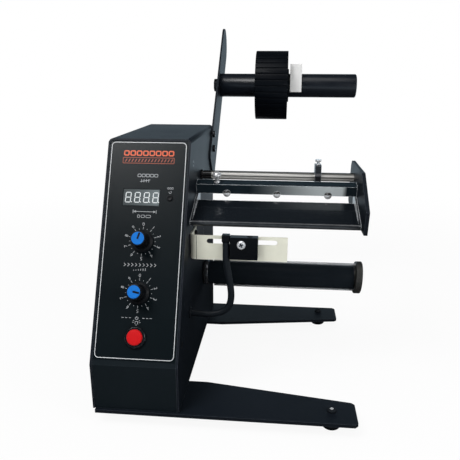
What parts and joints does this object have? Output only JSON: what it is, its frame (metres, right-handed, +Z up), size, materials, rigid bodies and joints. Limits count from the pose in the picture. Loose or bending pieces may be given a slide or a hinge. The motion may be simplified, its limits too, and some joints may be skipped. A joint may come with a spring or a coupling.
{
  "type": "label dispenser",
  "caption": "Semi-automatic label dispenser: slim control box on a legged plate, leaning supply arm with core hub, peel tray, sliding sensor and driven rewind roller.",
  "frame": {"origin": "centre of the bounding box in X and Y, on the plane that the four feet stand on", "axes": "+X from the box towards the rollers' free ends, +Y from the control panel to the supply arm, +Z up"},
  "size_m": [0.2264, 0.35, 0.325],
  "materials": {
    "powder_coat": "satin powder coat",
    "panel_steel": "satin powder coat",
    "overlay_print": "printed film",
    "tray_black": "gloss lacquer",
    "zinc_plate": "yellowish zinc plate",
    "bright_chrome": "polished",
    "rod_steel": "ground",
    "bar_steel": "dark polished",
    "black_tube": "black anodised",
    "knurled_bronze": "dark bronze anodised",
    "hub_plastic": "moulded",
    "clip_white": "moulded",
    "foot_rubber": "matt",
    "cable_jacket": "smooth",
    "sensor_plastic": "smoky",
    "guide_black": "black anodised",
    "knob_black": "moulded",
    "knob_blue": "moulded",
    "button_red": "moulded",
    "display_face": "grey face with light digits",
    "board_green": "solder mask",
    "post_brass": "turned",
    "core_iron": "varnished laminations",
    "coil_copper": "taped copper winding",
    "motor_steel": "plated",
    "pinion_brass": "hobbed",
    "gear_nylon": "moulded",
    "frame_zinc": "zinc plate",
    "housing_alloy": "machined",
    "screw_black": "black oxide",
    "screw_zinc": "zinc plate",
    "wire_red": "sleeved"
  },
  "bodies": {
    "machine": {"base_plate": "powder_coat", "rubber_feet": "foot_rubber", "foot_screws": "screw_black", "cover_shell": "powder_coat", "front_panel": "panel_steel", "rear_panel": "powder_coat", "side_screws": "screw_black", "pan_screws": "screw_black", "panel_overlay": "overlay_print", "display_module": "display_face", "control_board": "board_green", "board_posts": "post_brass", "reset_switch": "knob_black", "pot_bodies": "motor_steel", "pot_nuts": "bright_chrome", "power_switch_body": "knob_black", "transformer_core": "core_iron", "transformer_coil": "coil_copper", "power_inlet": "knob_black", "inlet_pins": "bright_chrome", "motor_can": "motor_steel", "gear_bracket": "frame_zinc", "spindle_bearings": "rod_steel", "bearing_housing": "housing_alloy", "roll_arm": "powder_coat", "supply_shaft": "black_tube", "shaft_bolt": "screw_black", "tray_plate": "tray_black", "end_plate": "powder_coat", "guide_rod": "rod_steel", "press_bar": "bar_steel", "press_studs": "bright_chrome", "bar_screw": "bright_chrome", "sensor_bracket": "zinc_plate", "sensor_cable": "cable_jacket", "cable_grommet": "foot_rubber", "inner_wiring": "wire_red"},
    "reset_button": {"reset_button": "knob_black"},
    "power_button": {"power_button": "button_red"},
    "length_knob": {"length_knob": "knob_black", "length_knob_cap": "knob_blue", "length_pot_shaft": "rod_steel"},
    "speed_knob": {"speed_knob": "knob_black", "speed_knob_cap": "knob_blue", "speed_pot_shaft": "rod_steel"},
    "motor_shaft": {"motor_pinion": "pinion_brass"},
    "spindle": {"spindle_gear": "gear_nylon", "spindle_shaft": "rod_steel", "roller_ring": "bright_chrome", "rewind_roller": "black_tube"},
    "liner_clip": {"liner_clip_cap": "knurled_bronze", "liner_clip_rods": "bright_chrome"},
    "bush": {"hub_bush": "hub_plastic"},
    "core_hub": {"core_hub": "hub_plastic"},
    "stop_clip": {"stop_clip": "clip_white"},
    "edge_guide": {"edge_guide": "guide_black"},
    "guide_screw": {"guide_screw": "bright_chrome"},
    "sensor": {"sensor_block": "sensor_plastic", "sensor_screw": "bright_chrome", "cable_boot": "sensor_plastic"}
  },
  "joints": [
    {"name": "reset_press", "type": "slide", "parent": "machine", "child": "reset_button", "axis": [0, 0.9008, -0.4342], "range_m": [0, 0.001], "stiffness_N_per_m": 400, "springref_m": -0.002},
    {"name": "power_press", "type": "slide", "parent": "machine", "child": "power_button", "axis": [0, 0.9008, -0.4342], "range_m": [0, 0.002], "stiffness_N_per_m": 400, "springref_m": -0.002},
    {"name": "length_turn", "type": "hinge", "parent": "machine", "child": "length_knob", "pos_m": [-0.07815, -0.13162, 0.14201], "axis": [0, -0.9008, 0.4342], "range_deg": [-284, 16]},
    {"name": "speed_turn", "type": "hinge", "parent": "machine", "child": "speed_knob", "pos_m": [-0.07815, -0.14973, 0.10444], "axis": [0, -0.9008, 0.4342], "range_deg": [-200, 100]},
    {"name": "spindle_spin", "type": "hinge", "parent": "machine", "child": "spindle", "pos_m": [0.02685, -0.02852, 0.08], "axis": [1, 0, 0], "continuous": true},
    {"name": "motor_spin", "type": "hinge", "parent": "machine", "child": "motor_shaft", "pos_m": [-0.05915, -0.01647, 0.10087], "axis": [1, 0, 0], "continuous": true},
    {"name": "liner_clip_pull", "type": "slide", "parent": "spindle", "child": "liner_clip", "axis": [1, 0, 0], "range_m": [0, 0.15]},
    {"name": "hub_place", "type": "slide", "parent": "machine", "child": "bush", "axis": [1, 0, 0], "range_m": [-0.035, 0.0005]},
    {"name": "hub_spin", "type": "hinge", "parent": "bush", "child": "core_hub", "pos_m": [0.01785, 0.10998, 0.26], "axis": [1, 0, 0], "continuous": true},
    {"name": "stop_clip_place", "type": "slide", "parent": "machine", "child": "stop_clip", "axis": [1, 0, 0], "range_m": [-0.0005, 0.055]},
    {"name": "edge_guide_place", "type": "slide", "parent": "machine", "child": "edge_guide", "axis": [1, 0, 0], "range_m": [-0.1, 0.029]},
    {"name": "guide_screw_turn", "type": "hinge", "parent": "edge_guide", "child": "guide_screw", "pos_m": [0.06515, -0.04052, 0.1935], "axis": [0, 0, 1], "range_deg": [-360, 0]},
    {"name": "sensor_place", "type": "slide", "parent": "machine", "child": "sensor", "axis": [1, 0, 0], "range_m": [-0.02, 0.026], "deforming": ["sensor_cable"]}
  ],
  "couplings": [
    {"joint": "motor_spin", "follows": "spindle_spin", "ratio": -3}
  ]
}
